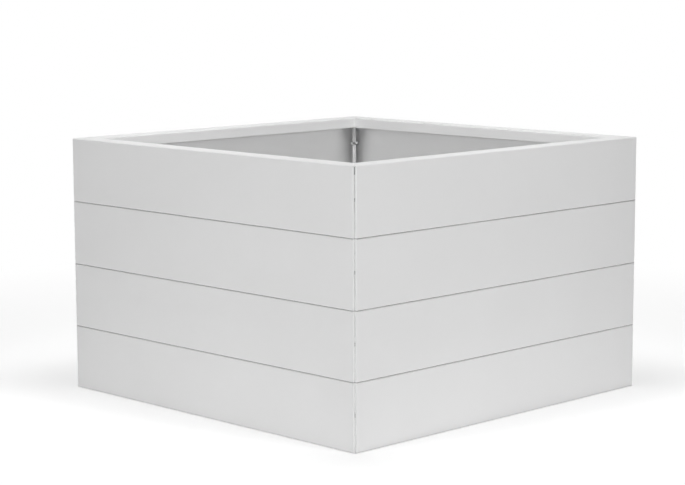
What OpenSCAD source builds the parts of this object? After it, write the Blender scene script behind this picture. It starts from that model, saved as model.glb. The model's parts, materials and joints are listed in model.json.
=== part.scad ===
// Stackable planter of folded sheet-metal boards: four levels of four mitred boards.
// Lengths are in millimetres. The origin is at the centre of the base, and +Z is up.
// The front faces -Y. Each board is one folded sheet, bolted to its neighbours.

/* [Planter] */
// Outer size from the left face to the right face
planter_w = 950; // [650:10:1400]
// Outer size from the front face to the back face
planter_d = 950; // [650:10:1400]
// Height of one board, which is also the pitch of the levels
board_h = 150; // [115:5:250]
// Thickness of the folded sheet
sheet_t = 2; // [1:0.25:3]
// Inside radius of every bend
bend_r = 1.2; // [0.8:0.1:2]

/* [Rim] */
// Width of the flat rim, measured inwards from the outer face
rim_w = 50; // [42:1:90]
// Height of the lip that hangs from the inner edge of the rim
rim_lip_h = 25; // [12:1:45]
// How far below the rim the corner flanges of the rim boards end
rim_corner_drop = 18; // [10:1:30]

/* [Level flanges] */
// Width of the flanges on which one level stands on the next, from the outer face
level_flange_w = 30; // [26:1:45]
// Distance from the outer face to the level bolts
level_bolt_inset = 18; // [13:0.5:22]
// Distance from each end of a board to its outer level bolts
level_bolt_end = 175; // [100:5:250]
// Diameter of the punched bolt holes
bolt_hole_d = 6.6; // [6.4:0.1:7.5]

/* [Corner flanges] */
// Reach of a corner flange along the diagonal, from the corner point
corner_flange_l = 50; // [46:1:58]
// Length of the hem that is folded back at the free edge
hem_l = 10; // [5:0.5:12]
// Gap between the two layers of the hem
hem_gap = 0.4; // [0.2:0.1:1]
// Gap in the mitre between two boards
mitre_gap = 0.3; // [0.1:0.1:1]
// How far the trimmed ends of the long bends stay behind the rounded corner
tip_relief = 0.1; // [0.05:0.05:0.3]
// How much of the bend is cut away where its flange is left out
bend_trim = 0.9; // [0:0.1:1.5]
// Height of the slot that takes the corner bolt
slot_h = 7; // [6.4:0.1:9]
// Height of the corner bolt above the lower edge of its board
corner_bolt_z = 80; // [30:1:90]
// Distance from the corner point to the corner bolt, along the diagonal
corner_bolt_s = 30; // [24:0.5:32]

/* [Fasteners] */
// Diameter of the bolt shank
bolt_d = 6; // [5:0.5:6]
// Length of the bolt under its head
bolt_l = 16; // [15:1:20]
// Size of the bolt head and nut across the flats
hex_af = 10; // [9:0.5:11]
// Height of the bolt head
head_h = 4; // [3:0.5:5]
// Height of the nut
nut_h = 5; // [4:0.5:5.5]
// Outer diameter of the washers
washer_d = 12; // [11:0.5:14]
// Diameter of the hole in the washers
washer_hole_d = 6.4; // [6.2:0.1:6.8]
// Thickness of the washers
washer_t = 1.6; // [0.8:0.2:2]
// Clearance between the bolt and the wall of the nut, on the radius
thread_clear = 0.05; // [0.02:0.01:0.1]
// Chamfer on the bolt tip, the head and the nut
fastener_chamfer = 0.6; // [0.3:0.1:1]

/* [Hidden] */
$fn = 48;
// Rounds a length to a thousandth, so that neighbouring shapes share their edges exactly
function rounded(value) = round(value * 1000) / 1000;
// Outer radius of a bend
bend_out = bend_r + sheet_t;
// Distance from a sharp mitre corner to where its rounding starts, along either edge
round_start = bend_out / tan(22.5);
// Bend centre at a board's end: distance from the corner point along the board, and into it
corner_cx = rounded(round_start + mitre_gap / sqrt(2));
corner_cy = bend_out;
// Where the bend ends and the flat corner flange starts, along the diagonal
flange_s = rounded(round_start + mitre_gap / 2);
// Outer radius of the hem, and the flat lengths before it and in its return
hem_out = sheet_t + hem_gap / 2;
flange_flat = corner_flange_l - hem_out - flange_s;
hem_flat = hem_l - hem_out;
// Distance from the bend centre to the middle of the mitre
mitre_half = bend_out + mitre_gap / 2;
// Margins by which cuts run past what they cut
cut_over = 1;
cut_reach = 3 * max(rim_w, level_flange_w);
// Heights between which the face is bent into its corner flanges
corner_z0 = bend_out;
corner_z1 = board_h - bend_out;
// Half the thickness that a corner bolt and a level bolt clamp
corner_half = mitre_gap / 2 + sheet_t;
level_half = sheet_t;
// Circumscribed diameter of the hexagons
hex_d = hex_af / cos(30);

FRONT = 0;
RIGHT = 1;
BACK = 2;
LEFT = 3;
RIM_LEVEL = 3;

// Length of the board on a side, and how far that side's face is from the middle
function side_length(side) = side % 2 == 0 ? planter_w : planter_d;
function side_offset(side) = (side % 2 == 0 ? planter_d : planter_w) / 2;
function bolt_places(side) = let(x = side_length(side) / 2 - level_bolt_end) [-x, 0, x];

// A side's own frame: X runs along the board, -Y points out of its face
module on_side(side) {
    rotate([0, 0, 90 * side]) translate([0, -side_offset(side), 0]) children();
}

// Quarter of a bend's section, turned a number of quarter turns from the first quadrant
module quarter_bend(quarter, outer = bend_out, inner = bend_r) {
    rotate(90 * quarter) intersection() {
        difference() {
            circle(r = outer);
            circle(r = inner);
        }
        square(2 * outer);
    }
}

// Section through face and bottom flange, common to all boards: Y is inwards, Z is up
module face_section() {
    translate([0, bend_out]) square([sheet_t, board_h - 2 * bend_out]);
    translate([bend_out, bend_out]) quarter_bend(2);
    translate([bend_out, 0]) square([level_flange_w - bend_out, sheet_t]);
    translate([bend_out, board_h - bend_out]) quarter_bend(1);
}

module level_section() {
    face_section();
    translate([bend_out, board_h - sheet_t]) square([level_flange_w - bend_out, sheet_t]);
}

// Section with the flat rim and its lip
module rim_section() {
    face_section();
    translate([bend_out, board_h - sheet_t]) square([rim_w - 2 * bend_out, sheet_t]);
    translate([rim_w - bend_out, board_h - bend_out]) quarter_bend(0);
    translate([rim_w - sheet_t, board_h - rim_lip_h]) square([sheet_t, rim_lip_h - bend_out]);
}

// Frames at the bend centre of a board's left end: square to the board, and along the mitre,
// with X to the middle of the planter and the mitre at Y = mitre_half
module at_bend(length) {
    translate([corner_cx - length / 2, corner_cy, 0]) children();
}

module along_mitre() {
    rotate([0, 0, 45]) children();
}

// What the mitre cuts off, with the sharp corner trimmed to a circle just inside the corner bend
module mitre_waste() {
    along_mitre() translate([-cut_reach, bend_out]) square([2 * cut_reach, cut_reach]);
    difference() {
        intersection() {
            along_mitre() translate([-cut_reach, -cut_reach]) square([cut_reach, 2 * cut_reach]);
            translate([-cut_reach, -cut_reach]) square([cut_reach, 2 * cut_reach]);
        }
        circle(r = bend_out - tip_relief);
    }
}

// The sheet turns 135 degrees from the face into the corner flange
module corner_bend_section() {
    quarter_bend(2);
    along_mitre() quarter_bend(1);
}

// Flat corner flange, with a hem folded back at its free edge
module corner_flange_section() {
    along_mitre() {
        translate([0, bend_r]) square([flange_flat, sheet_t]);
        translate([flange_flat, bend_out - hem_out]) {
            quarter_bend(0, hem_out, hem_gap / 2);
            quarter_bend(3, hem_out, hem_gap / 2);
            translate([-hem_flat, -hem_out]) square([hem_flat, sheet_t]);
        }
    }
}

// Slot for the corner bolt: it opens the bend, and runs out at the free edge of the flange
module corner_slot() {
    radius = slot_h / 2;
    along_mitre() translate([radius - bend_trim, 0, corner_bolt_z]) {
        rotate([-90, 0, 0]) cylinder(r = radius, h = bend_out + cut_over);
        translate([0, bend_out - 2 * hem_out - cut_over, -radius])
            cube([corner_flange_l, 2 * hem_out + 2 * cut_over, slot_h]);
    }
}

// Leaves the bend without its flange above a height
module open_bend(z) {
    along_mitre() translate([0, 0, z]) linear_extrude(board_h) {
        translate([-bend_trim, 0]) square([bend_trim + corner_flange_l, bend_out + cut_over]);
        translate([flange_flat / 2, -2 * hem_out]) square([corner_flange_l, 2 * hem_out + cut_over]);
    }
}

// The bent end of a board, in the frame of its bend centre
module corner_end(rim) {
    difference() {
        translate([0, 0, corner_z0]) linear_extrude(corner_z1 - corner_z0) {
            corner_bend_section();
            corner_flange_section();
        }
        corner_slot();
        if (rim) open_bend(board_h - rim_corner_drop);
    }
}

// Outline of a board from above, between its mitres
module outline(length) {
    difference() {
        translate([-length / 2, 0]) square([length, cut_reach / 2]);
        for (end = [0, 1]) mirror([end, 0, 0]) at_bend(length) mitre_waste();
    }
}

// Face and flanges of a board, without its bent ends
module board_body(length, rim) {
    difference() {
        intersection() {
            rotate([90, 0, 90]) linear_extrude(length, center = true) {
                if (rim) rim_section();
                else level_section();
            }
            linear_extrude(board_h) outline(length);
        }
        level_holes(length, -cut_over);
        if (!rim) level_holes(length, board_h - sheet_t - cut_over);
    }
}

// One folded board in its side's frame, standing on z = 0
module board(length, rim) {
    board_body(length, rim);
    for (end = [0, 1]) mirror([end, 0, 0]) at_bend(length) corner_end(rim);
}

// Punched holes through one flange, for the level bolts
module level_holes(length, z) {
    x = length / 2 - level_bolt_end;
    for (place = [-x, 0, x]) {
        translate([place, level_bolt_inset, z]) cylinder(d = bolt_hole_d, h = sheet_t + 2 * cut_over);
    }
}

module placed_board(side, level) {
    on_side(side) translate([0, 0, level * board_h]) board(side_length(side), level == RIM_LEVEL);
}

// Hexagon with a chamfered end, standing on z = 0
module hexagon(height) {
    intersection() {
        cylinder(d = hex_d, h = height, $fn = 6);
        union() {
            cylinder(d = hex_d, h = height - fastener_chamfer);
            translate([0, 0, height - fastener_chamfer])
                cylinder(d1 = hex_d, d2 = hex_af - fastener_chamfer, h = fastener_chamfer);
        }
    }
}

// Fasteners of one joint, along Z with the head on top; half is half the clamped thickness
module joint_bolt(half) {
    translate([0, 0, half + washer_t]) {
        hexagon(head_h);
        translate([0, 0, -bolt_l + fastener_chamfer]) cylinder(d = bolt_d, h = bolt_l - fastener_chamfer);
        translate([0, 0, -bolt_l])
            cylinder(d1 = bolt_d - 2 * fastener_chamfer, d2 = bolt_d, h = fastener_chamfer);
    }
}

module joint_washers(half) {
    for (z = [half, -half - washer_t]) {
        translate([0, 0, z]) difference() {
            cylinder(d = washer_d, h = washer_t);
            translate([0, 0, -cut_over]) cylinder(d = washer_hole_d, h = washer_t + 2 * cut_over);
        }
    }
}

module joint_nut(half) {
    mirror([0, 0, 1]) translate([0, 0, half + washer_t]) difference() {
        hexagon(nut_h);
        translate([0, 0, -cut_over]) cylinder(r = bolt_d / 2 + thread_clear, h = nut_h + 2 * cut_over);
    }
}

// Puts its children on the four corner joints of a level. The nut is inside the board whose
// right-hand end is bolted, as seen from outside, and the head is inside its neighbour.
module at_corners(level) {
    for (side = [FRONT : LEFT]) {
        on_side(side) mirror([1, 0, 0]) at_bend(side_length(side)) along_mitre()
            translate([corner_bolt_s - flange_s, mitre_half, level * board_h + corner_bolt_z])
            rotate([-90, 0, 0]) children();
    }
}

// Puts its children on the joints between a level and the one below it
module at_seam(level) {
    for (side = [FRONT : LEFT]) {
        for (place = bolt_places(side)) {
            on_side(side) translate([place, level_bolt_inset, level * board_h]) children();
        }
    }
}

module level_board(side, level) {
    color([0.86, 0.86, 0.86]) placed_board(side, level);
}

module rim_board(side) {
    color([0.90, 0.90, 0.90]) placed_board(side, RIM_LEVEL);
}

module corner_bolts(level) {
    color([0.72, 0.73, 0.74]) at_corners(level) joint_bolt(corner_half);
}

module corner_washers(level) {
    color([0.78, 0.79, 0.80]) at_corners(level) joint_washers(corner_half);
}

module corner_nuts(level) {
    color([0.72, 0.73, 0.74]) at_corners(level) joint_nut(corner_half);
}

module level_bolts(level) {
    color([0.72, 0.73, 0.74]) at_seam(level) joint_bolt(level_half);
}

module level_washers(level) {
    color([0.78, 0.79, 0.80]) at_seam(level) joint_washers(level_half);
}

module level_nuts(level) {
    color([0.72, 0.73, 0.74]) at_seam(level) joint_nut(level_half);
}

level_board(FRONT, 0);  // front_board_1
level_board(RIGHT, 0);  // right_board_1
level_board(BACK, 0);  // back_board_1
level_board(LEFT, 0);  // left_board_1
level_board(FRONT, 1);  // front_board_2
level_board(RIGHT, 1);  // right_board_2
level_board(BACK, 1);  // back_board_2
level_board(LEFT, 1);  // left_board_2
level_board(FRONT, 2);  // front_board_3
level_board(RIGHT, 2);  // right_board_3
level_board(BACK, 2);  // back_board_3
level_board(LEFT, 2);  // left_board_3
rim_board(FRONT);  // front_rim_board
rim_board(RIGHT);  // right_rim_board
rim_board(BACK);  // back_rim_board
rim_board(LEFT);  // left_rim_board
corner_bolts(0);  // corner_bolts_1
corner_washers(0);  // corner_washers_1
corner_nuts(0);  // corner_nuts_1
corner_bolts(1);  // corner_bolts_2
corner_washers(1);  // corner_washers_2
corner_nuts(1);  // corner_nuts_2
corner_bolts(2);  // corner_bolts_3
corner_washers(2);  // corner_washers_3
corner_nuts(2);  // corner_nuts_3
corner_bolts(RIM_LEVEL);  // corner_bolts_rim
corner_washers(RIM_LEVEL);  // corner_washers_rim
corner_nuts(RIM_LEVEL);  // corner_nuts_rim
level_bolts(1);  // level_bolts_1
level_washers(1);  // level_washers_1
level_nuts(1);  // level_nuts_1
level_bolts(2);  // level_bolts_2
level_washers(2);  // level_washers_2
level_nuts(2);  // level_nuts_2
level_bolts(3);  // level_bolts_3
level_washers(3);  // level_washers_3
level_nuts(3);  // level_nuts_3
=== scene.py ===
# %% [markdown]
# A modular planter of folded sheet metal
#
# The planter is a square box of four levels. Each level is four folded boards, mitred at their ends
# like a picture frame and bolted together inside the corners. The top level ends in a flat rim with
# a lip. The boards are powder coated in a pale grey, and the bolts, washers and nuts are zinc plated.
#
# The CAD model arrives as a fixed frame. This lesson dresses it: it gives the boards the soft edges
# that paint leaves, makes real fasteners out of plain stand-ins, writes the finishes as node graphs,
# and sets up a small studio.

import json
import math

import bmesh
import bpy
from mathutils import Matrix, Vector

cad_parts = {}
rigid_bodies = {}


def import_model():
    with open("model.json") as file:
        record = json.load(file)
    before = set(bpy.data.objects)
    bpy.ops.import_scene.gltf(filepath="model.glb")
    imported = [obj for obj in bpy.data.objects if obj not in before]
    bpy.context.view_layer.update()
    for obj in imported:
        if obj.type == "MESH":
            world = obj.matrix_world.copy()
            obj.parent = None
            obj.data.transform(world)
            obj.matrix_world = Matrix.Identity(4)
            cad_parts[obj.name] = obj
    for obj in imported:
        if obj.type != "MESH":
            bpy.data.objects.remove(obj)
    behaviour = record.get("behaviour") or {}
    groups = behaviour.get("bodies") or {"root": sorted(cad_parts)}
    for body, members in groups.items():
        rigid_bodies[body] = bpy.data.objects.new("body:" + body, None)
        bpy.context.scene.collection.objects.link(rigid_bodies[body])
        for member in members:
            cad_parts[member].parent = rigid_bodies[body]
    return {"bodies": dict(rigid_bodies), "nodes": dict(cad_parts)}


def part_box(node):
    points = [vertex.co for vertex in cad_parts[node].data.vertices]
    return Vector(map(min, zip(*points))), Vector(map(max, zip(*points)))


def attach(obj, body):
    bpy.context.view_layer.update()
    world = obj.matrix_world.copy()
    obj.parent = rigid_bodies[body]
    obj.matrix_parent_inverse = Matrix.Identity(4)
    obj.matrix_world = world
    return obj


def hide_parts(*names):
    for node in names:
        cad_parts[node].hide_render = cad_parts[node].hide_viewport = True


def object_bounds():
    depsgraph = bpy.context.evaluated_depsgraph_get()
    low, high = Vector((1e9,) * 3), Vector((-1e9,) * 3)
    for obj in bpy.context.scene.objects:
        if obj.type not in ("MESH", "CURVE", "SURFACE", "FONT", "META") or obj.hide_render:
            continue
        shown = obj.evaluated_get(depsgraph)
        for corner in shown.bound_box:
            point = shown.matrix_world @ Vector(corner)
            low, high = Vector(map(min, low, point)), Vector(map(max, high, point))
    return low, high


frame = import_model()
cad_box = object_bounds()
BODY = next(iter(frame["bodies"]))
print("CAD box", cad_box, "body", BODY, "nodes", len(frame["nodes"]))

# %% [markdown]
# The camera
#
# The photograph looks down a little on the near corner, through a long lens. Its place was found by
# fitting a pinhole camera to the straight edges of the planter. So the camera is written as a place,
# three angles and a focal length, and its axes are worked out from the angles. That reads better than
# sixteen numbers of a matrix, and one angle can be changed without spoiling the others.

# %% Camera at the photograph's angle
camera_place = Vector((-3.299, -3.296, 1.005))
camera_yaw, camera_pitch, camera_roll = 0.7911, 0.1397, -0.0028

ahead = Vector((
    math.cos(camera_pitch) * math.cos(camera_yaw),
    math.cos(camera_pitch) * math.sin(camera_yaw),
    -math.sin(camera_pitch),
))
level_right = Vector((math.sin(camera_yaw), -math.cos(camera_yaw), 0))
level_up = level_right.cross(ahead)
right = level_right * math.cos(camera_roll) + level_up * math.sin(camera_roll)
up = level_up * math.cos(camera_roll) - level_right * math.sin(camera_roll)

camera_data = bpy.data.cameras.new("camera")
camera_data.lens = 103.73
camera_data.sensor_width = 36
camera = bpy.data.objects.new("camera", camera_data)
camera.matrix_world = Matrix((
    (right.x, up.x, -ahead.x, camera_place.x),
    (right.y, up.y, -ahead.y, camera_place.y),
    (right.z, up.z, -ahead.z, camera_place.z),
    (0, 0, 0, 1),
))
bpy.context.scene.collection.objects.link(camera)
bpy.context.scene.camera = camera
print("camera", tuple(round(c, 3) for c in camera.location), "lens", camera_data.lens)

# %% [markdown]
# Sizes
#
# A stack of folded boards is described by very few numbers. The outer size comes from the frame, and
# the rest are the workshop sizes of the joints, as the CAD model has them. With all of them in one
# place, the bolts, the rounded corners and the shades beside the slots follow the same numbers.

# %% Sizes of the planter and its joints
MM = 0.001
SIDES = ("front", "right", "back", "left")
LEVELS = 4
lowest, highest = (Vector(corner) for corner in cad_box)
half_width = (highest.x - lowest.x) / 2
board_h = (highest.z - lowest.z) / LEVELS
sheet_t = 2 * MM
bend_out = 3.2 * MM
mitre_gap = 0.3 * MM
washer_t = 1.6 * MM
corner_bolt_inset = 30 * MM
corner_bolt_z = 80 * MM
slot_h = 7 * MM
rim_corner_drop = 18 * MM
level_bolt_inset = 18 * MM
level_bolt_step = 300 * MM
print("half width", round(half_width, 4), "board height", round(board_h, 4))

# %% [markdown]
# Node graphs written as sums
#
# A finish is mostly arithmetic: noise times a strength, plus a base. So is the shape of a screw
# thread. Adding Math nodes by hand for that is slow to read and to change. The small class below
# wraps one socket and overloads the operators, so that `1 - mask * 0.2` adds its own Math nodes. Every
# other node comes from one method, `node`, which takes the type, the settings and the sockets. Shader
# graphs and Geometry Nodes can share both, because they share their Math nodes.

# %% Values and graphs
class Value:
    """One output of a node. A sum or product of values adds the Math nodes for it."""

    def __init__(self, graph, socket):
        self.graph = graph
        self.socket = socket

    def math(self, operation, *terms):
        return self.graph.node("ShaderNodeMath", {"operation": operation}, dict(enumerate(terms)))

    def __add__(self, other):
        return self.math("ADD", self, other)

    def __sub__(self, other):
        return self.math("SUBTRACT", self, other)

    def __rsub__(self, other):
        return self.math("SUBTRACT", other, self)

    def __mul__(self, other):
        return self.math("MULTIPLY", self, other)

    def __truediv__(self, other):
        return self.math("DIVIDE", self, other)

    def __rtruediv__(self, other):
        return self.math("DIVIDE", other, self)

    __radd__ = __add__
    __rmul__ = __mul__

    def limited(self, low, high):
        return self.math("MINIMUM", self.math("MAXIMUM", self, low), high)

    def output(self, name):
        """Another output of the same node."""
        return Value(self.graph, self.socket.node.outputs[name])


class Graph:
    """Adds nodes to a shader or a Geometry Nodes tree."""

    def __init__(self, tree):
        self.tree = tree

    def node(self, kind, settings=None, sockets=None):
        """Adds a node, sets it, then fills or links its sockets. Its first output comes back."""
        made = self.tree.nodes.new(kind)
        for name, setting in (settings or {}).items():
            setattr(made, name, setting)
        for name, given in (sockets or {}).items():
            if isinstance(given, Value):
                self.tree.links.new(given.socket, made.inputs[name])
            else:
                made.inputs[name].default_value = given
        shown = [socket for socket in made.outputs if socket.enabled]
        return Value(self, shown[0]) if shown else None


print("operators ready:", [name for name in vars(Value) if name.startswith("__r")])

# %% [markdown]
# Powder coat
#
# Powder coat is plastic, baked on steel. It feels smooth but it is never quite flat: it dries with a
# fine orange peel, about two millimetres across, its gloss wanders a little, and a large panel drifts
# by a percent or two in tone. Here and there sits a slightly darker speck. Rolled sheet also keeps
# long shallow waves, which show only in reflections.
#
# A plain grey shader would look like plastic toy bricks. Each of these five is a noise of its own
# scale instead. Object coordinates are metres here, so a scale of 450 means about 450 bumps a metre,
# on every board alike.

# %% Helpers for the finishes
def new_material(name):
    material = bpy.data.materials.new(name)
    material.use_nodes = True
    material.node_tree.nodes.clear()
    return material, Graph(material.node_tree)


def noise(graph, place, scale, detail=2.0, slide=0.0):
    """Noise round 0.5. The slide moves it along, so that two noises of one finish don't line up."""
    moved = graph.node("ShaderNodeMapping", sockets={
        "Vector": place, "Location": (slide, slide, slide),
    })
    return graph.node("ShaderNodeTexNoise", sockets={
        "Vector": moved, "Scale": scale, "Detail": detail,
    })


def between(graph, factor, first, second):
    """A colour between two greys or tints, by a value from 0 to 1."""
    full = {6: first, 7: second}  # the two colour inputs of a Mix node
    colours = {at: tint if isinstance(tint, Value) else (*tint, 1) for at, tint in full.items()}
    return graph.node("ShaderNodeMix", {"data_type": "RGBA", "clamp_factor": True}, {
        0: factor, **colours,
    })


print("finish helpers ready")

# %% [markdown]
# Painted shade in the joints
#
# The narrow joints are darkened in the colour of the coat, as painted shade: a joint between two folded
# boards shows as a fine dark line, and a cut end of a bend looks into a dark gap. Here the gaps are
# known exactly: the seam between two levels, and the cut ends of the bends beside a bolt slot and above
# the corner flange of the rim. So they are found from the coordinates, without painting a map. A seam's
# painted shade lies a little above the joint, where the bend of the upper board turns in and faces
# down. Beside a slot the painted shade is half as strong.

# %% Painted shade in the joints
# Widths of the painted shade beside a seam and on the cut ends of the bends, and its strength beside a
# slot
seam_shift, seam_dark, seam_fade = 0.4 * MM, 0.36 * MM, 0.3 * MM
cut_dark, cut_fade = 0.9 * MM, 0.2 * MM
slot_dark = 0.5


def narrow_joints(graph, place):
    """Painted shade: up to 1 in the seams between levels and on the cut ends of the corner bends, 0
    elsewhere.
    """
    at = graph.node("ShaderNodeSeparateXYZ", sockets={"Vector": place})
    z = at.output("Z")
    # the limits leave out the foot and the top, which are no seams
    level = (z / board_h).limited(0.6, LEVELS - 0.6)
    above_seam = (level - level.math("ROUND", level)) * board_h
    off_seam = above_seam.math("ABSOLUTE", above_seam - seam_shift)
    seam = (1 - (off_seam - seam_dark) / seam_fade).limited(0, 1)
    x = at.output("X").math("ABSOLUTE", at.output("X"))
    y = at.output("Y").math("ABSOLUTE", at.output("Y"))
    off_mitre = (x - y).math("ABSOLUTE", x - y) / math.sqrt(2)
    outside = x.math("GREATER_THAN", x.math("MAXIMUM", x, y), half_width - 2 * bend_out)
    cut_end = (1 - (off_mitre - cut_dark) / cut_fade).limited(0, 1)
    in_board = z - (z / board_h).math("FLOOR", z / board_h) * board_h
    off_slot = in_board.math("ABSOLUTE", in_board - corner_bolt_z)
    slot = off_slot.math("LESS_THAN", off_slot, slot_h / 2)
    open_top = z.math("GREATER_THAN", z, LEVELS * board_h - rim_corner_drop)
    below_rim = z.math("LESS_THAN", z, LEVELS * board_h - 0.8 * bend_out)
    cut = cut_end * outside * slot.math("MAXIMUM", slot * slot_dark, open_top * below_rim)
    return seam.math("MAXIMUM", seam, cut)


print("thin coat, mm from a seam and from a mitre", round(seam_dark / MM, 2), round(cut_dark / MM, 2))

# %% [markdown]
# The coat itself
#
# The five noises now come together. The drift and the specks shift the tone by at most 2.5%, the drift
# and the ripple move the gloss, and peel, ripple and waves feed the bump. In the joints a dark grey is
# mixed in as painted shade, and the gloss drops there. A ramp of colours would do much the same, but
# sums show how much each noise adds.

# %% Powder coat
def powder_coat(name, colour):
    """Satin paint with orange peel, slow drift of tone, rare specks, and painted shade in the narrow
    joints.
    """
    low_tone = tuple(c * 0.975 for c in colour)
    # the near-black grey of the painted shade in the joints
    joint_shade_tone = tuple(c * 0.16 for c in colour)
    material, graph = new_material(name)
    place = graph.node("ShaderNodeTexCoord").output("Object")
    peel = noise(graph, place, 450, 2.0)
    ripple = noise(graph, place, 120, 1.0, 3.1)
    drift = noise(graph, place, 4, 3.0, 5.3)
    waves = noise(graph, place, 2.5, 0.0, 7.7)
    grain = noise(graph, place, 1400, 0.0, 9.2)
    speck = ((grain - 0.72) * 10).limited(0, 1)
    tone = ((drift - 0.3) * 2.2).limited(0, 1) - speck * 0.5
    painted = between(graph, tone, low_tone, colour)
    # where painted shade darkens the joints, from 0 to 1
    painted_shade = narrow_joints(graph, place)
    height = peel * 0.05 + ripple * 0.05 + waves * 1.2
    bump = graph.node("ShaderNodeBump", sockets={
        "Strength": 0.4, "Distance": 1 * MM, "Height": height,
    })
    shader = graph.node("ShaderNodeBsdfPrincipled", sockets={
        "Base Color": between(graph, painted_shade * (0.8 + ripple * 0.4), painted, joint_shade_tone),
        "Roughness": 0.42 + (ripple - 0.5) * 0.12 + (drift - 0.5) * 0.08 + painted_shade * 0.3,
        "Normal": bump,
        "IOR": 1.5,
    })
    graph.node("ShaderNodeOutputMaterial", sockets={"Surface": shader})
    return material


coat_colour = (0.815, 0.815, 0.815)
coat = powder_coat("pale_grey_powder_coat", coat_colour)
print("powder coat nodes", len(coat.node_tree.nodes))

# %% [markdown]
# Zinc plate
#
# Bolts are plated in a turning barrel. The zinc comes out bright and cool, with a faint mottle where
# the rinse dried, and with small dents and rubs from the other bolts in the barrel. So the shader is
# a metal with two tints mixed by a slow noise, a roughness that follows the rubs, and a fine bump.

# %% Zinc plate
def zinc_plate(name, cool, warm):
    """A bright metal, mottled between two tints, with fine rubs and dents."""
    material, graph = new_material(name)
    place = graph.node("ShaderNodeTexCoord").output("Object")
    mottle = noise(graph, place, 260, 3.0)
    rubs = noise(graph, place, 900, 4.0, 2.3)
    dents = noise(graph, place, 420, 1.0, 4.9)
    height = rubs * 0.03 + dents * 0.08
    bump = graph.node("ShaderNodeBump", sockets={
        "Strength": 0.5, "Distance": 1 * MM, "Height": height,
    })
    shader = graph.node("ShaderNodeBsdfPrincipled", sockets={
        "Base Color": between(graph, ((mottle - 0.3) * 2.4).limited(0, 1), warm, cool),
        "Metallic": 1.0,
        "Roughness": 0.14 + rubs * 0.2,
        "Normal": bump,
    })
    graph.node("ShaderNodeOutputMaterial", sockets={"Surface": shader})
    return material


bolt_zinc = zinc_plate("bright_zinc_plate", (0.73, 0.75, 0.78), (0.66, 0.66, 0.64))
washer_zinc = zinc_plate("dull_zinc_plate", (0.68, 0.69, 0.70), (0.60, 0.60, 0.59))
print("zinc plate nodes", len(bolt_zinc.node_tree.nodes))

# %% [markdown]
# A way to run Geometry Nodes once
#
# Everything that repeats here is grown by Geometry Nodes. A modifier that stays live would be slow,
# and its instances would be lost when the model is exported. So each tree runs once: an empty mesh
# carries the modifier, its inputs are set by their identifiers, the evaluated result is copied to one
# plain mesh, and the carrier goes away.

# %% Trees and how they run
def new_tree(name, inputs):
    """A tree with named inputs, as its graph and the value of each input."""
    made = bpy.data.node_groups.new(name, "GeometryNodeTree")
    made.interface.new_socket("Geometry", in_out="OUTPUT", socket_type="NodeSocketGeometry")
    for label, kind in inputs.items():
        made.interface.new_socket(label, in_out="INPUT", socket_type="NodeSocket" + kind)
    graph = Graph(made)
    entry = made.nodes.new("NodeGroupInput")
    return graph, {label: Value(graph, entry.outputs[label]) for label in inputs}


def close_tree(graph, geometry, finish):
    """Ends a tree: instances become real, and the finish is set."""
    real = graph.node("GeometryNodeRealizeInstances", sockets={"Geometry": geometry})
    painted = graph.node("GeometryNodeSetMaterial", sockets={"Geometry": real, "Material": finish})
    graph.node("NodeGroupOutput", sockets={"Geometry": painted})


def run_tree(graph, name, settings, soften=None):
    """Runs a tree and returns its result as an object with one plain mesh."""
    carrier = bpy.data.objects.new(name + "_carrier", bpy.data.meshes.new(name))
    bpy.context.scene.collection.objects.link(carrier)
    modifier = carrier.modifiers.new("grow", "NODES")
    modifier.node_group = graph.tree
    for socket in graph.tree.interface.items_tree:
        if socket.in_out == "INPUT":
            modifier[socket.identifier] = settings[socket.name]
    if soften:
        soften(carrier)
    evaluated = carrier.evaluated_get(bpy.context.evaluated_depsgraph_get())
    mesh = bpy.data.meshes.new_from_object(evaluated)
    bpy.data.objects.remove(carrier)
    mesh.name = name
    piece = bpy.data.objects.new(name, mesh)
    bpy.context.scene.collection.objects.link(piece)
    return piece


def stand_in(piece, node):
    """The finished piece takes the place of a CAD node."""
    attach(piece, BODY)
    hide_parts(node)


print("tree helpers ready")

# %% [markdown]
# The boards
#
# Each board is one sheet of 2 mm, folded along both long edges, with a flange folded back at each
# end to take the corner bolts. The CAD model already has that shape exactly. What it lacks is soft
# edges: a punched edge in CAD is a knife edge, and paint builds up on a real one and rounds it to
# about a quarter of a millimetre, which catches the light in a thin line.
#
# The sheet could be folded again in mesh code, but a copy of the CAD mesh can't be a hair off. A CAD
# mesh comes as loose triangles, so the copy is merged first, and the triangles of each flat face are
# dissolved, because bevels like large faces. All twelve boards of the lower levels come off the same
# folding press, so one copy serves them all, and one more serves the rim.

# %% [markdown]
# The rounded corners
#
# At each end of a long bend, the bend of the corner flange crosses it. On a pressed board the metal
# flows there into a small ball. The CAD model leaves an opening of about a millimetre instead. A
# subdivided patch could close it, but a ball corner is a quarter circle swung round an upright axis,
# so it is built in just that way: one profile of the sheet, outside and inside, repeated in a fan of
# 135 degrees. It reaches half a millimetre into the corner's bend and stands a hair proud of it, so
# that no slit is left.

# %% A ball corner
QUARTER_STEPS = 8
FAN_STEPS, FAN_ANGLE = 10, 135
SHELL_T = 0.95 * sheet_t
OVERLAP, PROUD, TIP_R = 0.5 * MM, 0.005 * MM, 0.1 * MM


def arc(radius, steps):
    """Points of a quarter circle below the bend's middle, as distance from its axis and height."""
    angles = [k * math.tau / (4 * QUARTER_STEPS) for k in steps]
    return [(radius * math.cos(angle), -radius * math.sin(angle)) for angle in angles]


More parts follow.
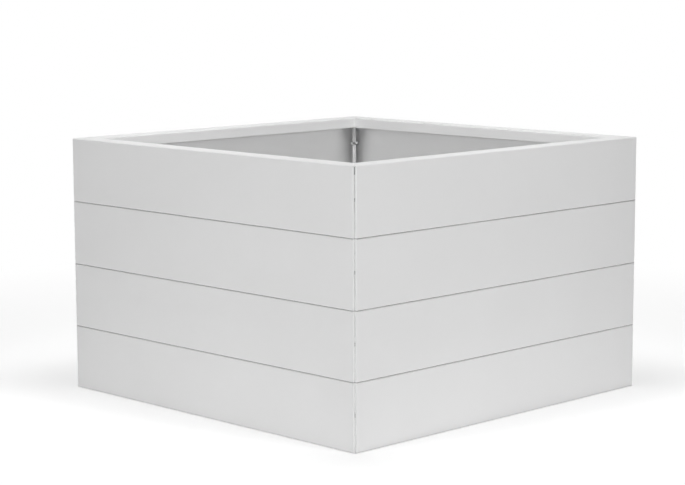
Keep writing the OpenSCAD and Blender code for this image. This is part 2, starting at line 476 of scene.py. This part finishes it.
def ball_corner(form, middle, side, up):
    """The rounded corner of the sheet where three bends meet, as a closed shell."""
    outer, inner = bend_out, bend_out - SHELL_T
    profile = [(outer + PROUD, OVERLAP), (outer + PROUD, 0.0)]
    profile += arc(outer, range(1, QUARTER_STEPS))
    profile += [(TIP_R, -outer), (TIP_R, -inner)]
    profile += arc(inner, range(QUARTER_STEPS - 1, 0, -1))
    profile += [(inner, 0.0), (inner, OVERLAP)]
    fans = []
    for step in range(FAN_STEPS + 1):
        angle = math.radians(-90 + side * FAN_ANGLE * step / FAN_STEPS)
        fans.append([
            form.verts.new(middle + Vector((r * math.cos(angle), r * math.sin(angle), -up * z)))
            for r, z in profile
        ])
    size = len(profile)
    shell = [form.faces.new(fans[0]), form.faces.new(reversed(fans[-1]))]
    for one, other in zip(fans, fans[1:]):
        for k in range(size):
            after = (k + 1) % size
            shell.append(form.faces.new((one[k], other[k], other[after], one[after])))
    bmesh.ops.recalc_face_normals(form, faces=shell)


print("ball corner of", FAN_STEPS, "steps, outside radius in mm", round(bend_out / MM, 2))

# %% [markdown]
# Which edges the paint rounds
#
# A bevel on every edge would also cut into the fine steps of the bends and spoil them. So each edge
# gets a weight: 1 where two faces meet at more than 50 degrees, as at a punched hole or the edge of
# the sheet, and 0 elsewhere. The trimmed tips of the long bends are left out too, and so is whatever
# ends at a tiny edge, because the faces there are smaller than the bevel.

# %% One board to copy, for the levels and for the rim
sharp_edge, same_plane = math.radians(50), math.radians(0.5)
tip_reach, tip_height, tiny_edge = 15 * MM, 3.4 * MM, 0.05 * MM


def at_tip(place, foot):
    """Whether a point is on the trimmed tip of a long bend."""
    from_end = half_width - abs(place.x)
    from_fold = min(place.z - foot, foot + board_h - place.z)
    return from_end < tip_reach and from_fold < tip_height


def pressed_board(node):
    """A merged copy of a CAD board, with whole faces, and a mark on each edge to be softened."""
    mesh = bpy.data.meshes.new("pressed_" + node)
    form = bmesh.new()
    form.from_mesh(frame["nodes"][node].data)
    bmesh.ops.remove_doubles(form, verts=form.verts, dist=0.001 * MM)
    bmesh.ops.dissolve_limit(form, angle_limit=same_plane, verts=form.verts, edges=form.edges)
    soft = form.edges.layers.float.new("bevel_weight_edge")
    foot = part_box(node)[0].z
    for edge in form.edges:
        folded = edge.calc_face_angle(0) > sharp_edge
        shortest = min(near.calc_length() for end in edge.verts for near in end.link_edges)
        at_tips = any(at_tip(end.co, foot) for end in edge.verts)
        edge[soft] = float(folded and shortest >= tiny_edge and not at_tips)
    corner_bend = bend_out / math.tan(math.radians(180 - FAN_ANGLE) / 2)
    bend_end = half_width - corner_bend - mitre_gap / math.sqrt(2)
    for side in (-1, 1):
        for up in (-1, 1):
            middle = foot + board_h / 2 + up * (board_h / 2 - bend_out)
            ball_corner(form, Vector((side * bend_end, bend_out - half_width, middle)), side, up)
    form.to_mesh(mesh)
    form.free()
    for extra in ("custom_normal", "sharp_face"):
        if extra in mesh.attributes:
            mesh.attributes.remove(mesh.attributes[extra])
    mesh.shade_smooth()
    mesh.set_sharp_from_angle(angle=sharp_edge)
    board = bpy.data.objects.new("pressed_" + node, mesh)
    bpy.context.scene.collection.objects.link(board)
    print(node, "triangles", len(frame["nodes"][node].data.polygons), "whole faces", len(mesh.polygons))
    return board


level_board = pressed_board("front_board_1")
rim_board = pressed_board("front_rim_board")

# %% [markdown]
# The stack
#
# The stack follows a rule: a board of side 0, 1, 2 or 3 is the front board turned by that many
# quarter turns, and a higher level is the same ring lifted by one board height. Sixteen boards could
# be placed one by one, but the tree below is the rule itself, with the side and the lift as inputs.

# %% Place a board by its side and its lift
graph, given = new_tree("board_in_the_stack", {
    "Board": "Object", "Side": "Int", "Lift": "Float", "Finish": "Material",
})
pressed = graph.node("GeometryNodeObjectInfo", sockets={"Object": given["Board"]}).output("Geometry")
turn = graph.node("ShaderNodeCombineXYZ", sockets={"Z": given["Side"] * (math.tau / len(SIDES))})
lift = graph.node("ShaderNodeCombineXYZ", sockets={"Z": given["Lift"]})
placed = graph.node("GeometryNodeTransform", sockets={
    "Geometry": pressed, "Rotation": turn, "Translation": lift,
})
close_tree(graph, placed, given["Finish"])
board_rule = graph
print("board rule nodes", len(graph.tree.nodes))

# %% [markdown]
# Soft edges, as the paint leaves them
#
# A Bevel modifier rounds the marked edges by a quarter of a millimetre, and Weighted Normal keeps the
# wide faces flat to the eye, so that only the bends and the soft edges look round. Both run on the
# carrier after the tree, so the plain mesh that comes out has them already.

# %% All the boards
def soft_edges(board):
    """The two modifiers that round the marked edges and keep the faces flat."""
    bevel = board.modifiers.new("soft_edges", "BEVEL")
    bevel.width = 0.25 * MM
    bevel.segments = 2
    bevel.limit_method = "WEIGHT"
    bevel.use_clamp_overlap = False
    flat = board.modifiers.new("flat_faces", "WEIGHTED_NORMAL")
    flat.keep_sharp = True
    flat.weight = 100


for level in range(LEVELS):
    for side, side_name in enumerate(SIDES):
        is_rim = level == LEVELS - 1
        node = f"{side_name}_rim_board" if is_rim else f"{side_name}_board_{level + 1}"
        piece = run_tree(board_rule, "coated_" + node, {
            "Board": rim_board if is_rim else level_board,
            "Side": side,
            "Lift": 0.0 if is_rim else level * board_h,
            "Finish": coat,
        }, soft_edges)
        stand_in(piece, node)
    print("level", level + 1, "boards of", len(piece.data.polygons), "faces")
for board in (level_board, rim_board):
    bpy.data.objects.remove(board)

# %% [markdown]
# The fasteners
#
# A joint is a hexagon bolt, two washers and a nut, all M6. Bolts could be cylinders with a cone cut
# off, but a turned part is simpler than that: it is a sheet of vertices rolled round an axis. The
# columns of a grid become the angle, and each row takes a radius and a height. For a washer the radii
# are plain numbers. For a hexagon the radius depends on the angle, and the chamfer is the place where
# the hexagon meets a cone, so it comes out as the curved line of a real nut. The roll is closed by
# merging the vertices that meet.

# %% Rolling a grid round an axis
class Roll:
    """A grid to be rolled round Z, with the angle and the row number of each vertex."""

    def __init__(self, graph, columns, rows):
        self.graph = graph
        self.grid = graph.node("GeometryNodeMeshGrid", sockets={
            "Size X": float(columns), "Size Y": float(rows - 1),
            "Vertices X": columns + 1, "Vertices Y": rows,
        })
        place = graph.node("GeometryNodeInputPosition")
        flat = graph.node("ShaderNodeSeparateXYZ", sockets={"Vector": place})
        self.angle = (flat.output("X") / columns + 0.5) * math.tau
        self.row = flat.output("Y") + (rows - 1) / 2

    def by_row(self, values):
        """The first value in row 0, the second in row 1, and so on."""
        return sum(self.row.math("COMPARE", self.row, k, 0.5) * value for k, value in enumerate(values))

    def closed(self, radius, height):
        """The rolled skin, with its seam and its poles merged."""
        place = self.graph.node("ShaderNodeCombineXYZ", sockets={
            "X": radius * self.angle.math("COSINE", self.angle),
            "Y": radius * self.angle.math("SINE", self.angle),
            "Z": height,
        })
        moved = self.graph.node("GeometryNodeSetPosition", sockets={
            "Geometry": self.grid, "Position": place,
        })
        return self.graph.node("GeometryNodeMergeByDistance", sockets={
            "Geometry": moved, "Distance": 0.005 * MM,
        })

    def hexagon(self, flats):
        """Radius of a hexagon at the angle, with a corner at angle 0."""
        sixth = math.tau / 6
        off_flat = self.angle.math("MODULO", self.angle, sixth) - sixth / 2
        return (flats / 2) / off_flat.math("COSINE", off_flat)


print("turned parts ready")

# %% [markdown]
# The bolt
#
# A thread is a ridge that climbs one pitch a turn. If the rows of the grid climb with it, each row
# stays on the crest or in the root all the way round, and four rows a pitch are enough for a crisp
# ridge. The height is cut off at both ends of the bolt, and the merge takes away what piles up there.
# The head is a second roll. Its middle is dished a little, as on a pressed head.

# %% The bolt
pitch, rows_a_pitch, thread_depth = 1.0 * MM, 4, 0.6 * MM
shank_columns, shank_rows = 16, 76
chamfer, chamfer_slope = 0.6 * MM, 0.56
dish_outside, dish_inside, dish_depth = 0.74, 0.68, 0.2 * MM
under_head, hexagon_columns = 0.35, 24
graph, given = new_tree("hexagon_bolt", {
    "Flats": "Float", "Head": "Float", "Length": "Float", "Thread": "Float", "Finish": "Material",
})
head = Roll(graph, hexagon_columns, 8)
across = head.hexagon(given["Flats"])
face_r = given["Flats"] / 2 - chamfer / 2
slope = (across - face_r) * chamfer_slope
top = given["Head"]
head_skin = head.closed(
    head.by_row([0, face_r, across, across, face_r,
                 face_r * dish_outside, face_r * dish_inside, 0]),
    head.by_row([0, 0, slope * under_head, top - slope, top,
                 top, top - dish_depth, top - dish_depth]),
)
shank = Roll(graph, shank_columns, shank_rows)
climb = (shank.row - 1 - rows_a_pitch) * (pitch / rows_a_pitch) + shank.angle * (pitch / math.tau)
inside_head = 1 * MM
height = (climb - given["Length"]).limited(0 - given["Length"], inside_head)
phase = shank.row / rows_a_pitch
ridge = phase.math("ABSOLUTE", phase.math("FRACT", phase) - 0.5) * 2
thread_r = given["Thread"] / 2
root_depth = (1 - ridge) * thread_depth
from_tip = height + given["Length"]
from_end = from_tip.math("MINIMUM", from_tip, inside_head - height)
outer = thread_r - root_depth.math("MAXIMUM", root_depth, chamfer - from_end)
ends = shank.by_row([0] + [1] * (shank_rows - 2) + [0])
shank_skin = shank.closed(outer * ends, height)
both = graph.node("GeometryNodeJoinGeometry", sockets={"Geometry": head_skin})
graph.tree.links.new(shank_skin.socket, both.socket.node.inputs["Geometry"])
close_tree(graph, both, given["Finish"])
bolt_tree = graph
print("bolt tree nodes", len(graph.tree.nodes))

# %% [markdown]
# The washer and the nut
#
# A washer is stamped and then tumbled, which leaves all its edges a little soft. A nut has a chamfer
# on both faces and a small countersink at both ends of its bore. Both are closed rings: the last row
# of the profile lies on the first one.

# %% The washer
graph, given = new_tree("stamped_washer", {
    "Outer": "Float", "Hole": "Float", "Thickness": "Float", "Finish": "Material",
})
soft = 0.2 * MM
ring = Roll(graph, 32, 9)
hole_r, outer_r, top = given["Hole"] / 2, given["Outer"] / 2, given["Thickness"]
ring_skin = ring.closed(
    ring.by_row([hole_r + soft, outer_r - soft, outer_r, outer_r, outer_r - soft,
                 hole_r + soft, hole_r, hole_r, hole_r + soft]),
    ring.by_row([0, 0, soft, top - soft, top, top, top - soft, soft, 0]),
)
close_tree(graph, ring_skin, given["Finish"])
washer_tree = graph
print("washer tree nodes", len(graph.tree.nodes))

# %% The nut
bore_play = 0.05 * MM
graph, given = new_tree("hexagon_nut", {
    "Flats": "Float", "Height": "Float", "Thread": "Float", "Finish": "Material",
})
ring = Roll(graph, hexagon_columns, 9)
across = ring.hexagon(given["Flats"])
face_r = given["Flats"] / 2 - chamfer / 2
slope = (across - face_r) * chamfer_slope
bore_r = given["Thread"] / 2 + bore_play
sink = 0.35 * MM
top = given["Height"]
ring_skin = ring.closed(
    ring.by_row([bore_r + sink, face_r, across, across, face_r, bore_r + sink, bore_r, bore_r,
                 bore_r + sink]),
    ring.by_row([0, 0, slope, top - slope, top, top, top - sink, sink, 0]),
)
close_tree(graph, ring_skin, given["Finish"])
nut_tree = graph
print("nut tree nodes", len(graph.tree.nodes))

# %% [markdown]
# One joint
#
# A joint is built once for each thickness that it clamps, standing on its middle plane with the bolt's
# head up. The lower washer and the nut are the same parts turned over, and the turn is made in the
# mesh, so that each part's place stays in its mesh. Edges sharper than 28 degrees stay crisp, and the
# rest is shaded smooth.

# %% One of each, standing on the joint's middle plane
def fastener(tree, name, settings, lift, turned_over=False):
    """One part of a joint. The joint's axis is Z, the bolt's head is up and the nut is down."""
    part = run_tree(tree, name, settings)
    if turned_over:
        part.data.transform(Matrix.Rotation(math.pi, 4, "X"))
    part.data.transform(Matrix.Translation((0, 0, lift)))
    part.data.shade_smooth()
    part.data.set_sharp_from_angle(angle=math.radians(28))
    return part


def joint_parts(kind, half):
    """Bolt, washers and nut of a joint that clamps twice the half thickness."""
    hexagon = {"Flats": 10 * MM, "Thread": 6 * MM, "Finish": bolt_zinc}
    bolt_sizes = {**hexagon, "Head": 4 * MM, "Length": 16 * MM}
    nut_sizes = {**hexagon, "Height": 5 * MM}
    washer_sizes = {
        "Outer": 12 * MM, "Hole": 6.4 * MM, "Thickness": washer_t, "Finish": washer_zinc,
    }
    bearing = half + washer_t
    return {
        "bolts": [fastener(bolt_tree, kind + "_bolt", bolt_sizes, bearing)],
        "washers": [
            fastener(washer_tree, kind + "_upper_washer", washer_sizes, half),
            fastener(washer_tree, kind + "_lower_washer", washer_sizes, -half, True),
        ],
        "nuts": [fastener(nut_tree, kind + "_nut", nut_sizes, -bearing, True)],
    }


corner_parts = joint_parts("corner", mitre_gap / 2 + sheet_t)
level_parts = joint_parts("level", sheet_t)
for name, parts in corner_parts.items():
    print(name, "faces", [len(part.data.polygons) for part in parts])

# %% [markdown]
# Where the joints are
#
# Both kinds of joint follow the same rule: a short row on the front side, repeated by quarter turns.
# At a corner the row is a single joint, whose bolt lies across the mitre. Between two levels it is
# three upright joints, 300 mm apart. So one tree places them all. It takes the part, the row's start,
# step and count, and the tilt of the joint. A wrench leaves every hexagon at another angle, so each
# part also gets its own turn about its axis, from a fixed seed. For that the four rows are made real
# one step deep first, because only then is each part an instance that can turn on its own.

# %% The rule for a ring of joints
graph, given = new_tree("ring_of_joints", {
    "Part": "Object", "Start": "Vector", "Step": "Vector", "Count": "Int",
    "Tilt": "Vector", "Seed": "Int", "Finish": "Material",
})
part = graph.node("GeometryNodeObjectInfo", sockets={"Object": given["Part"]}).output("Geometry")
row = graph.node("GeometryNodeMeshLine", {"mode": "OFFSET"}, {
    "Count": given["Count"], "Start Location": given["Start"], "Offset": given["Step"],
})
joints = graph.node("GeometryNodeInstanceOnPoints", sockets={
    "Points": row, "Instance": part, "Rotation": given["Tilt"],
})
corners = graph.node("GeometryNodePoints", sockets={"Count": len(SIDES)})
quarter = graph.node("GeometryNodeInputIndex") * (math.tau / len(SIDES))
ring = graph.node("GeometryNodeInstanceOnPoints", sockets={
    "Points": corners,
    "Instance": joints,
    "Rotation": graph.node("ShaderNodeCombineXYZ", sockets={"Z": quarter}),
})
single = graph.node("GeometryNodeRealizeInstances", sockets={
    "Geometry": ring, "Realize All": False, "Depth": 1,
})
wrench = graph.node("FunctionNodeRandomValue", {"data_type": "FLOAT"}, {
    2: -math.tau / 12, 3: math.tau / 12, "Seed": given["Seed"],
})
turned = graph.node("GeometryNodeRotateInstances", sockets={
    "Instances": single,
    "Rotation": graph.node("ShaderNodeCombineXYZ", sockets={"Z": wrench}),
    "Local Space": True,
})
close_tree(graph, turned, given["Finish"])
ring_rule = graph
print("ring rule nodes", len(graph.tree.nodes))

# %% [markdown]
# All the joints
#
# The rows are listed first, four at the corners and three between the levels. A loop then runs the
# tree once for each part of each row. Every row has its own seed, and a nut is turned separately from
# its bolt, as on a real joint, so its seed is shifted. The two washers of a row end up in one mesh,
# because they stand for one node of the frame.

# %% All the joints
across_mitre = (-math.tau / 4, 0.0, -math.tau / 8)
corner_reach = half_width - corner_bolt_inset / math.sqrt(2)
rows = {}
for level in range(LEVELS):
    label = "rim" if level == LEVELS - 1 else str(level + 1)
    start = (corner_reach, -corner_reach, level * board_h + corner_bolt_z)
    rows["corner", label] = (corner_parts, start, (0.0, 0.0, 0.0), 1, across_mitre)
for level in range(1, LEVELS):
    start = (-level_bolt_step, level_bolt_inset - half_width, level * board_h)
    rows["level", str(level)] = (level_parts, start, (level_bolt_step, 0.0, 0.0), 3, (0.0, 0.0, 0.0))

made = 0
seed_shift = {"bolts": 0, "washers": 0, "nuts": 15}
for seed, ((kind, label), (parts, start, step, count, tilt)) in enumerate(rows.items()):
    for part_name, masters in parts.items():
        finish = washer_zinc if part_name == "washers" else bolt_zinc
        grown = [
            run_tree(ring_rule, f"zinc_{kind}_{part_name}_{label}_{k}", {
                "Part": master, "Start": start, "Step": step, "Count": count,
                "Tilt": tilt, "Seed": seed + seed_shift[part_name], "Finish": finish,
            })
            for k, master in enumerate(masters)
        ]
        form = bmesh.new()
        for one in grown:
            form.from_mesh(one.data)
        mesh = bpy.data.meshes.new(f"zinc_{kind}_{part_name}_{label}")
        form.to_mesh(mesh)
        form.free()
        mesh.materials.append(finish)
        piece = bpy.data.objects.new(mesh.name, mesh)
        bpy.context.scene.collection.objects.link(piece)
        for one in grown:
            bpy.data.objects.remove(one)
        stand_in(piece, f"{kind}_{part_name}_{label}")
        made += len(SIDES) * count * len(masters)
for parts in (corner_parts, level_parts):
    for masters in parts.values():
        for master in masters:
            bpy.data.objects.remove(master)
print("fasteners placed", made)

# %% [markdown]
# The studio
#
# The photograph has a white ground with no horizon. Lighting the floor until it burns out would also
# burn out the planter, so the floor is an ordinary matt white that keeps the planter's shadow. Only
# what the camera and the reflections see of it is lifted to white: near the planter by what the lamps
# leave missing, and further off altogether. The floor lies a hair below the planter, because two
# faces in one plane render as noise.

# %% Floor
floor_mesh = bpy.data.meshes.new("floor")
reach, floor_z = 12.0, -0.4 * MM
corners = [
    (x * reach, y * reach, floor_z) for x, y in ((-1, -1), (1, -1), (1, 1), (-1, 1))
]
floor_mesh.from_pydata(corners, [], [(0, 1, 2, 3)])
floor = bpy.data.objects.new("floor", floor_mesh)
bpy.context.scene.collection.objects.link(floor)
paper, graph = new_material("floor_paper")
place = graph.node("ShaderNodeTexCoord").output("Object")
distance = graph.node("ShaderNodeVectorMath", {"operation": "LENGTH"}, {0: place}).output("Value")
near_edge, blend_width = 1.0, 1.2
far = ((distance - near_edge) / blend_width).limited(0, 1)
path = graph.node("ShaderNodeLightPath")
camera_ray, glossy_ray = path.output("Is Camera Ray"), path.output("Is Glossy Ray")
seen = camera_ray.math("MAXIMUM", camera_ray, glossy_ray)
matte = graph.node("ShaderNodeBsdfDiffuse", sockets={"Color": (0.9, 0.9, 0.9, 1)})
missing = 0.42
lift = graph.node("ShaderNodeEmission", sockets={"Color": (1, 1, 1, 1), "Strength": seen * missing})
near = graph.node("ShaderNodeAddShader", sockets={0: matte, 1: lift})
white = graph.node("ShaderNodeEmission", sockets={"Color": (1, 1, 1, 1), "Strength": 1.0})
mixed = graph.node("ShaderNodeMixShader", sockets={0: far * seen, 1: near, 2: white})
graph.node("ShaderNodeOutputMaterial", sockets={"Surface": mixed})
floor_mesh.materials.append(paper)
print("floor", 2 * reach, "m wide, lifted by", missing)

# %% [markdown]
# The white surroundings
#
# A studio like this is a white tent. The camera and the reflections see it as white, which gives the
# satin paint and the zinc their pale sheen. Its own light on the planter stays low, because light from
# all around would wash out the dark corners inside.

# %% World
world = bpy.data.worlds.new("studio")
bpy.context.scene.world = world
world.use_nodes = True
world.node_tree.nodes.clear()
graph = Graph(world.node_tree)
path = graph.node("ShaderNodeLightPath")
seen = path.output("Is Camera Ray") + path.output("Is Glossy Ray") + path.output("Is Transmission Ray")
fill = 0.1
strength = fill + (1 - fill) * seen.limited(0, 1)
sky = graph.node("ShaderNodeBackground", sockets={"Color": (1, 1, 1, 1), "Strength": strength})
graph.node("ShaderNodeOutputWorld", sockets={"Surface": sky})
print("world fill", fill)

# %% [markdown]
# The lamps
#
# In the photograph the two near faces fade towards their far ends, and the walls inside are lit right
# up to the lip above them, while the pockets beside the corner flange stay dark. One big softbox can't
# do all that, so the light comes from several smaller lamps. Two low ones do the most. Each stands a
# little above the camera's height, nearly in line with one far wall, and is turned towards the
# camera's side, so that its light is stronger at the near corner. Two weaker ones beside the camera
# fill in, and two small ones hang over the near rims and light the walls inside.
#
# The rims get their light from overhead and from behind. Two wide lamps light the right and the back
# face, and stand where the near faces are turned away from them. Panels on the floor stand in for the
# light that a pale floor throws up. The camera doesn't see the lamps, and no surface mirrors them,
# because at a low angle such a strong lamp would burn a white patch into the rim.

# %% Lamps
def lamp(name, place, aim, size, watts):
    """A flat rectangular lamp that neither the camera nor a reflection sees."""
    light = bpy.data.lights.new(name, "AREA")
    light.shape = "RECTANGLE"
    light.size, light.size_y = size
    light.energy = watts
    box = bpy.data.objects.new(name, light)
    facing = (Vector(aim) - Vector(place)).to_track_quat("-Z", "Y").to_matrix().to_4x4()
    box.matrix_world = Matrix.Translation(place) @ facing
    box.visible_camera = False
    box.visible_glossy = False
    bpy.context.scene.collection.objects.link(box)


def panel(name, x, y, size, watts):
    """A lamp that lies just above the floor and shines up."""
    lamp(name, (x, y, 2 * MM), (x, y, 1.0), size, watts)


lamp("left_low", (-4.1, 0.3, 1.2), (-0.9, -3.5, 0.5), (1.0, 0.4), 59)
lamp("front_low", (0.3, -4.1, 1.2), (-3.3, -0.6, 0.5), (1.0, 0.4), 60.5)
lamp("left_of_camera", (-3.9, -1.6, 1.2), (-0.3, 0.0, 0.4), (1.0, 0.4), 16)
lamp("right_of_camera", (-1.6, -3.9, 1.2), (0.0, -0.3, 0.4), (1.0, 0.4), 12)
lamp("over_the_left_rim", (-0.42, 0.28, 1.1), (0.475, 0.2, 0.5), (0.4, 0.4), 0.54)
lamp("over_the_front_rim", (0.28, -0.42, 1.1), (0.2, 0.475, 0.5), (0.4, 0.4), 0.36)
lamp("overhead", (-0.15, -0.15, 2.1), (0.15, 0.15, 0.3), (0.8, 0.8), 14.8)
lamp("behind", (2.4, 2.4, 2.2), (0.3, 0.3, 0.3), (2.4, 2.4), 18)
lamp("right_low", (4.1, 1.1, 1.3), (0.3, 0.0, 0.3), (2.4, 1.6), 28)
lamp("back_low", (1.1, 4.1, 1.3), (0.0, 0.3, 0.3), (2.4, 1.6), 28)
panel("left_floor", -1.0, 0.1, (1.0, 1.2), 0.2)
panel("front_floor", 0.0, -1.0, (1.2, 1.0), 0.27)
panel("left_foot", -0.577, 0.0, (0.2, 1.0), 0.13)
panel("front_foot", 0.0, -0.577, (1.0, 0.2), 0.19)
bpy.context.scene.view_settings.view_transform = "Standard"
print("lamps", len(bpy.data.lights))

# %% [markdown]
# The size
#
# Dressing must not change the size. The box of the CAD model was kept at the start and printed there.
